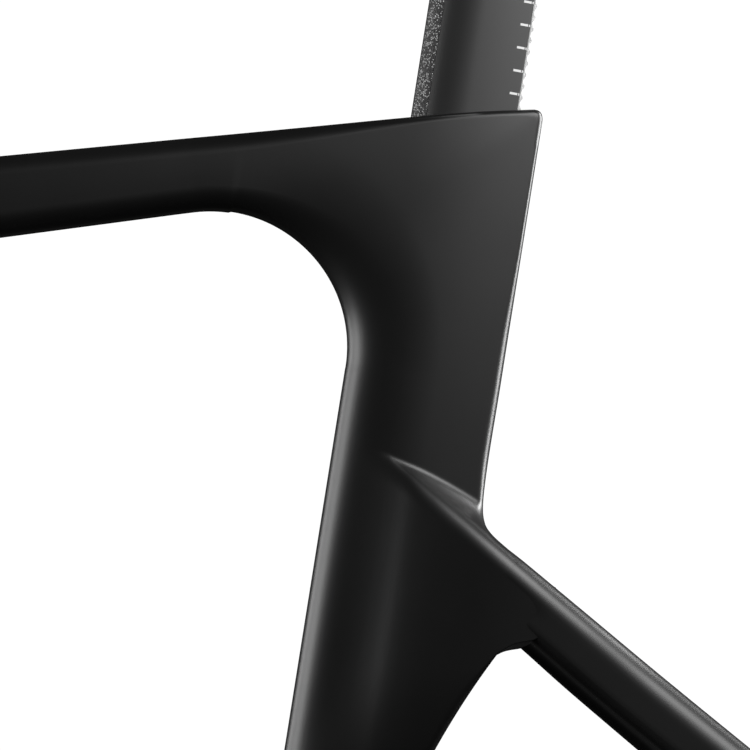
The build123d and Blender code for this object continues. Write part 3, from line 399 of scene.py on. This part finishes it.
front = np.concatenate([
    np.stack([tube_x, 521.05 - 3.55 * share], 1),
    np.stack([CORNER_X + CORNER_R * np.cos(fan), CORNER_Z + CORNER_R * np.sin(fan)], 1),
    np.stack(seat_xz(heights, NOSE_T), 1)])
rear = np.concatenate([
    np.stack([tube_x, 551.95 + 11.55 * share], 1),
    np.stack([np.interp(-np.degrees(fan), -edge_angle, edge[:, 0]),
              np.interp(-np.degrees(fan), -edge_angle, edge[:, 1])], 1),
    np.stack(seat_xz(heights, rear_t(heights)), 1)])
where = np.concatenate([np.full(len(tube_x), 90.0), np.degrees(fan), np.full(len(heights), -16.5)])
level = np.concatenate([np.full(len(tube_x), 560.0), np.full(len(fan), 480.0), heights])
print("stations:", len(front))

# %% [markdown]
# ## Half thickness of the moulding
#
# Away from the edges the wall is almost flat. The rear stays start as a wedge that swells out of the
# seat tube: below a crest line its face runs down parallel to the tube, and above the crest a shelf
# falls steeply back to the wall and meets it in a soft hollow.

# %% Thickness
WALL = 14.0
SHELF_SLOPE = 2.6
LEAN = 0.5986
BLEND = 15.0
CREST = [(-90.0, -20.0), (-66.0, 2.0), (-54.0, 12.0), (-46.0, 17.6), (-36.0, 22.0), (-20.0, 26.2),
         (0.0, 29.4), (45.0, 32.4), (90.0, 34.6), (240.0, 59.5), (337.0, 79.5)]


def crest_y(l):
    """Half distance between the outer faces of the stays, l down from the seat tube."""
    return curve(l, CREST)


def wall_y(x, s, t):
    """Half thickness of the plain moulding, before its edges are rounded: wider toward the head, and
    narrowing as a parabola toward the rear edge above the shelf."""
    widen = 5.0 * np.clip((CORNER_X - x) / TUBE_LENGTH, 0, 1)
    return WALL + widen - 2.9 * np.clip((t + 18.0) / 56.0, 0, 1.1) ** 2 * smooth(330.0, 400.0, s)


def drop(q, rq, ry):
    """Fall of the outer face at depth q: a quarter ellipse, then a straight shelf above it."""
    w = SHELF_SLOPE * rq / ry
    q0 = rq * (1 - w / np.sqrt(1 + w * w))
    v = np.clip(1 - np.maximum(q, q0) / rq, 0, 1)
    return ry * (1 - np.sqrt(1 - v * v)) + SHELF_SLOPE * np.maximum(q0 - q, 0)


def flare_y(x, z, s):
    """Half thickness of the stay root: the side face under the crest, less the drop above it."""
    l, q = stay_lq(x, z)
    fade = smooth(215.0, 335.0, s)
    side = WALL - 3.5 * (1 - fade) + (crest_y(l - LEAN * np.maximum(q, 0)) - WALL) * fade
    return side - drop(q, 10.0, 7.0)


def gap_to(points, line):
    """Shortest distance from each point to a polyline's points."""
    d = points[:, None, :] - line[None, :, :]
    return np.sqrt((d * d).sum(-1)).min(1)


def frame_grid():
    """Grid of the main frame: section columns run front centre, right side, rear centre, left side.
    f is the distance along the station's ray from its front end, and a is how far the nose reaches.
    On the top tube the nose is a quarter ellipse. Down the seat tube it turns into a wedge, whose
    half width grows as the square root of f. The tail is a quarter circle of radius c."""
    k = np.radians(np.linspace(0, 90, 15))
    mid = np.linspace(0, 1, 74)[1:-1]
    end = np.sin(np.radians(np.linspace(0, 90, 12)))
    path = np.concatenate([rear[:-1] + (rear[1:] - rear[:-1]) * p for p in (0.0, 0.5)])
    path = path[np.argsort(np.concatenate([np.arange(len(rear) - 1), np.arange(len(rear) - 1) + 0.5]))]
    rows = []
    for i in range(len(front)):
        w = np.hypot(*(rear[i] - front[i]))
        e = (rear[i] - front[i]) / w
        turn = smooth(82.0, -6.0, where[i])
        top = smooth(10.0, 45.0, where[i])
        c = 2.4 + 6.2 * top * (1 - smooth(60.0, 185.0, rear[i][0])) + 1.6 * smooth(12.0, -8.0, where[i])
        c = c - 1.2 * smooth(430.0, 405.0, level[i]) - 2.4 * smooth(382.0, 370.0, level[i])
        c = c + 3.6 * smooth(348.0, 325.0, level[i])
        a = 9.0 + 15.0 * turn
        a = min(a, 0.62 * w)
        tail = max(c, 2.0) * 1.02
        f = np.concatenate([a * (1 - np.cos(k)), a + mid * (w - tail - a), w - tail + tail * end])
        xz = front[i] + f[:, None] * e
        s, t = seat_st(xz[:, 0], xz[:, 1])
        y = wall_y(xz[:, 0], s, t)
        crown = 0.7 * np.sin(np.pi * np.clip(f / w, 0, 1))
        y = y + crown - 0.5
        inner = 5.0
        half = y[len(k) - 1]
        if turn < 0.02:
            y[:len(k)] = half * np.sin(k)
            over = np.maximum((y[:len(k)] - inner) / (half - inner), 0)
            f[:len(k)] = a * (1 - np.sqrt(np.maximum(1 - over * over, 0)))
        else:
            blunt = np.sqrt(np.maximum(1 - (1 - np.minimum(f / a, 1)) ** 2, 0))
            blunt = (inner + (y - inner) * blunt) * np.minimum(np.sqrt(f / 1.2), 1.0)
            wedge = soft_min(15.4 * np.sqrt(f / 21.0), y, 7.5)
            y = wedge * turn + blunt * (1 - turn)
        xz = front[i] + f[:, None] * e
        if level[i] < 450:
            s, t = seat_st(xz[:, 0], xz[:, 1])
            flare = flare_y(xz[:, 0], xz[:, 1], s)
            y = np.where(flare > y - BLEND, soft_max(y, flare, BLEND), y)
        lo, hi = max(i - 26, 0) * 2, min(i + 26, len(rear) - 1) * 2
        d = np.minimum(gap_to(xz, path[lo:hi]), w - f)
        inside = np.clip(c - d, 0, c)
        y = y - (c - np.sqrt(np.maximum(c * c - inside * inside, 0)))
        side = np.column_stack([xz[:, 0], y, xz[:, 1]])
        across = y[-1] * np.array([0.6, 0.2, -0.2, -0.6])
        back = np.column_stack([np.full(4, xz[-1, 0]), across, np.full(4, xz[-1, 1])])
        other = side[:0:-1] * np.array([1, -1, 1])
        rows.append(np.concatenate([side, back, other]))
    return np.array(rows)


main = out_facing(skin("frame_moulding", frame_grid()))
main.data.materials.append(LOOK["satin_carbon"])
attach(main, "frame")
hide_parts("seat_tube", "top_tube")
print("frame_moulding:", len(main.data.vertices), "points")

# %% [markdown]
# ## Seatstays
#
# Each stay is a bar of changing section along its almost straight upper edge. Where it leaves the seat tube
# its outer face follows the wedge above, so the two run together.

# %% Seatstays
def corner(cq, cy, rq, ry, a0, a1, n=9):
    """Quarter ellipse about (cq, cy): q = cq + rq cos a, y = cy + ry sin a."""
    a = np.radians(np.linspace(a0, a1, n))
    return np.stack([cq + rq * np.cos(a), cy + ry * np.sin(a)], 1)


def stay_grid(sign):
    """Grid of one stay. A section is a box with four elliptical corners; y is measured inward from the
    outer face, which leans with depth near the seat tube and is upright further down."""
    ls = np.concatenate([np.linspace(-4, 60, 44), np.linspace(63, 333.5, 70)])
    rows = []
    for l in ls:
        thick = curve(np.array(l), [(-10, 13.0), (90, 12.0), (240, 11.0), (337, 9.0)])
        deep = curve(np.array(l), [(-10, 24.0), (35, 24.2), (65, 24.9), (110, 24.8), (240, 23.0),
                                   (337, 20.0)])
        rq = float(curve(np.array(l), [(-10, 10.0), (30, 10.0), (90, 11.0), (160, 11.5), (337, 9.0)]))
        ry = float(curve(np.array(l), [(-10, 7.0), (30, 7.0), (90, 7.0), (160, 6.4), (337, 4.4)]))
        ring = np.concatenate([
            corner(rq, ry, rq, ry, 270, 180, 13),
            [[0.0, (ry + thick - 3.0) * 0.5]],
            corner(3.0, thick - 3.0, 3.0, 3.0, 180, 90, 7),
            [[deep * 0.4, thick], [deep * 0.7, thick]],
            corner(deep - 4.0, thick - 4.0, 4.0, 4.0, 90, 0, 7),
            corner(deep - 4.0, 4.5, 4.0, 4.5, 0, -90, 9),
            [[deep * f, 0.0] for f in (0.76, 0.7, 0.63, 0.56, 0.5)]])
        q, inward = ring[:, 0], ring[:, 1]
        lean = 1 - smooth(8.0, 80.0, l)
        sunk = 0.5 * smooth(9.0, 16.0, q) * (1 - smooth(22.0, 38.0, l))
        rise = 0.06 - 0.4 * (1 - smooth(-4.0, 14.0, l)) - sunk
        y = crest_y(l - LEAN * q * lean) + rise - inward
        x, z = stay_xz(l, q + 0.4 - 0.4 * smooth(-4.0, 14.0, l))
        rows.append(np.column_stack([x, sign * y, z]))
    return np.array(rows)


for side, sign in (("left", -1.0), ("right", 1.0)):
    stay = out_facing(skin("stay_" + side, stay_grid(sign)))
    stay.data.materials.append(LOOK["satin_carbon"])
    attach(stay, "frame")
    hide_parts("seatstay_" + side)
    print(stay.name, len(stay.data.vertices), "points")

# %% [markdown]
# ## Seatpost
#
# The post is a long nose and a narrowing tail, cut off square behind. White height ticks run down its
# flank beside the rear edge, 10 mm apart.

# %% Seatpost
POST_FRONT, POST_REAR = -20.3, 24.8


def post_y(t):
    """Half width of the post at setback t: a wedge nose, a crown, a tail that narrows as a parabola,
    and an edge of radius 1.6 at the back."""
    f = np.asarray(t, float) - POST_FRONT
    side = 10.5 - 1.9 * np.clip((f - 15.0) / 30.1, 0, 1) ** 2
    body = soft_min(10.7 * np.sqrt(np.maximum(f, 0) / 15.0), side, 3.0)
    d = np.clip(POST_REAR - POST_FRONT - f, 0, 1.6)
    return body - 1.6 + np.sqrt(1.6 ** 2 - (1.6 - d) ** 2)


def post_grid():
    """Post section swept along the seat line. Above 703 its front and rear edges run in to the tip of
    the head, and its flanks fill out to the flat faces that the rail cradles sit on."""
    k = np.radians(np.linspace(0, 90, 20))
    f = np.concatenate([14.0 * (1 - np.cos(k)), np.linspace(14.0, 43.0, 30)[1:],
                        43.1 + 1.6 * np.sin(np.radians(np.linspace(0, 90, 8)))])
    t = f + POST_FRONT
    y = post_y(t)
    y[0] = 0.0
    t = np.concatenate([t, [t[-1]] * 3, t[:0:-1]])
    y = np.concatenate([y, y[-1] * np.array([0.5, 0.0, -0.5]), -y[:0:-1]])
    rows = []
    for s in np.concatenate([np.linspace(433.0, 700.0, 44), np.linspace(702.0, 738.4, 24)]):
        a = max(np.interp(s, [700.0, 718.0, 739.0], [-22.0, -13.0, 2.6]), POST_FRONT)
        b = min(np.interp(s, [700.0, 718.0, 739.0], [28.0, 19.0, 2.6]), POST_REAR)
        tt = a + (t - POST_FRONT) * (b - a) / (POST_REAR - POST_FRONT)
        end = np.clip(np.minimum(tt - a, b - tt) / 1.5, 0, 1)
        flat = 10.45 * np.sqrt(1 - (1 - end) ** 2) * np.sign(y)
        yy = y + (flat - y) * smooth(700.0, 716.0, s)
        x, z = seat_xz(s, tt)
        rows.append(np.column_stack([x, yy, z]))
    return np.array(rows)


post = sharpen(out_facing(skin("post_moulding", post_grid())), 40)
post.data.materials.append(LOOK["post_carbon"])
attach(post, "seatpost")
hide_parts("seatpost")

# %% Grit strips
def grip_grid(sign):
    """A thin strip on the nose: its outer face lies 0.2 mm over the post, its inner face 0.4 mm under."""
    t = POST_FRONT + 0.35 + 5.75 * np.linspace(0, 1, 14) ** 1.5
    over = post_y(t) + 0.2 * np.sin(np.pi * np.linspace(0.06, 0.94, 14)) ** 0.3
    under = post_y(t) - 0.4
    rows = []
    for s in np.linspace(450.0, 690.0, 40):
        x, z = seat_xz(s, np.concatenate([t, t[::-1]]))
        rows.append(np.column_stack([x, sign * np.concatenate([over, under[::-1]]), z]))
    return np.array(rows)


for side, sign in (("left", -1.0), ("right", 1.0)):
    strip = sharpen(out_facing(skin("grit_strip_" + side, grip_grid(sign))), 45)
    strip.data.materials.append(LOOK["grit"])
    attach(strip, "seatpost")
    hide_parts("front_grip_" + side)

# %% Ticks
TICKS = 8


def tick_points(s, sign):
    """A thin plate on the post's flank: centre at height s, 4.2 mm across, 1 mm tall, a hair proud."""
    t = np.array([19.5, 23.7])
    pts = []
    for out in (-0.3, 0.07):
        for ds in (-0.5, 0.5):
            for tt, yy in zip(t, post_y(t)):
                x, z = seat_xz(s + ds, tt)
                pts.append((x, sign * (yy + out), z))
    return pts


verts, faces = [], []
for n in range(TICKS):
    for sign in (-1.0, 1.0):
        base = len(verts)
        verts += tick_points(563.5 + 10.0 * n, sign)
        faces += [[base + i for i in f] for f in
                  ((0, 1, 3, 2), (4, 6, 7, 5), (0, 4, 5, 1), (2, 3, 7, 6), (0, 2, 6, 4), (1, 5, 7, 3))]
marks = bpy.data.meshes.new("height_ticks")
marks.from_pydata((np.array(verts) * 0.001).tolist(), [], faces)
ticks = bpy.data.objects.new("height_ticks", marks)
bpy.context.scene.collection.objects.link(ticks)
marks.materials.append(coated("tick_white", (0.62,) * 3, (0.72,) * 3, 0.5, 0.05))
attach(ticks, "seatpost")
print("ticks:", TICKS, "on each side")

# %% [markdown]
# ## Floor, light and camera
#
# The floor is plain and pale. The space behind the part is white where the camera sees it and dim where
# it lights the part, so that the black surfaces take their tone from the soft lamps alone.

# %% Floor and surroundings
low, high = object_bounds()
ring = np.linspace(0, 2 * np.pi, 97)[:-1]
disc = bpy.data.meshes.new("floor")
disc.from_pydata([(9 * math.cos(a), 9 * math.sin(a), low[2] - 0.0005) for a in ring], [], [list(range(96))])
floor = bpy.data.objects.new("floor", disc)
bpy.context.scene.collection.objects.link(floor)
disc.materials.append(coated("floor_pale", (0.80,) * 3, (0.83,) * 3, 0.75, 0.03, scale=2.0))
floor.visible_glossy = False
floor.visible_diffuse = False

world = bpy.data.worlds.new("studio")
bpy.context.scene.world = world
world.use_nodes = True
tree = world.node_tree
tree.nodes.clear()
seen = tree.nodes.new("ShaderNodeLightPath")
dim, white = tree.nodes.new("ShaderNodeBackground"), tree.nodes.new("ShaderNodeBackground")
pick, out = tree.nodes.new("ShaderNodeMixShader"), tree.nodes.new("ShaderNodeOutputWorld")
dim.inputs["Color"].default_value = (1, 1, 1, 1)
dim.inputs["Strength"].default_value = 0.018
white.inputs["Color"].default_value = (1, 1, 1, 1)
white.inputs["Strength"].default_value = 1.05
tree.links.new(seen.outputs["Is Camera Ray"], pick.inputs[0])
tree.links.new(dim.outputs[0], pick.inputs[1])
tree.links.new(white.outputs[0], pick.inputs[2])
tree.links.new(pick.outputs[0], out.inputs[0])


def lamp(name, place, target, size, power):
    """A soft rectangular lamp that faces the target."""
    data = bpy.data.lights.new(name, "AREA")
    data.shape = "RECTANGLE"
    data.size, data.size_y = size
    data.energy = power
    obj = bpy.data.objects.new(name, data)
    obj.location = place
    away = np.array(place, float) - np.array(target, float)
    obj.rotation_euler = Vector(away).to_track_quat("Z", "Y").to_euler()
    bpy.context.scene.collection.objects.link(obj)
    return obj


middle = (0.1, 0.0, 0.42)
lamp("lamp_front", (-2.0, 0.0, 1.1), middle, (2.0, 1.3), 54.0)
lamp("lamp_front_near", (-2.15, -0.95, 1.0), middle, (1.1, 1.4), 6.0)
lamp("lamp_rear", (1.9, 0.0, 0.78), middle, (0.8, 1.6), 105.0)
lamp("lamp_side", (0.50, -0.60, 0.78), (0.16, 0.0, 0.52), (0.3, 0.3), 3.8)
bpy.context.scene.view_settings.view_transform = "Standard"

# %% Camera
TARGET = np.array([0.1120, 0.0, 0.4417])
AWAY = np.array([-0.080, -1.0, -0.078])
AWAY = AWAY / np.linalg.norm(AWAY)
UP = np.array([0.1305, 0.0, 0.9914])
DISTANCE = 4.0
side_axis = np.cross(UP, AWAY)
side_axis /= np.linalg.norm(side_axis)
up_axis = np.cross(AWAY, side_axis)
camera_data = bpy.data.cameras.new("camera")
camera_data.sensor_width = 36.0
camera_data.lens = 36.0 * DISTANCE / 0.3205
camera = bpy.data.objects.new("camera", camera_data)
bpy.context.scene.collection.objects.link(camera)
turn = np.eye(4)
turn[:3, 0], turn[:3, 1], turn[:3, 2] = side_axis, up_axis, AWAY
turn[:3, 3] = TARGET + AWAY * DISTANCE
camera.matrix_world = Matrix(turn.tolist())
camera_data.clip_end = 100.0
bpy.context.scene.camera = camera
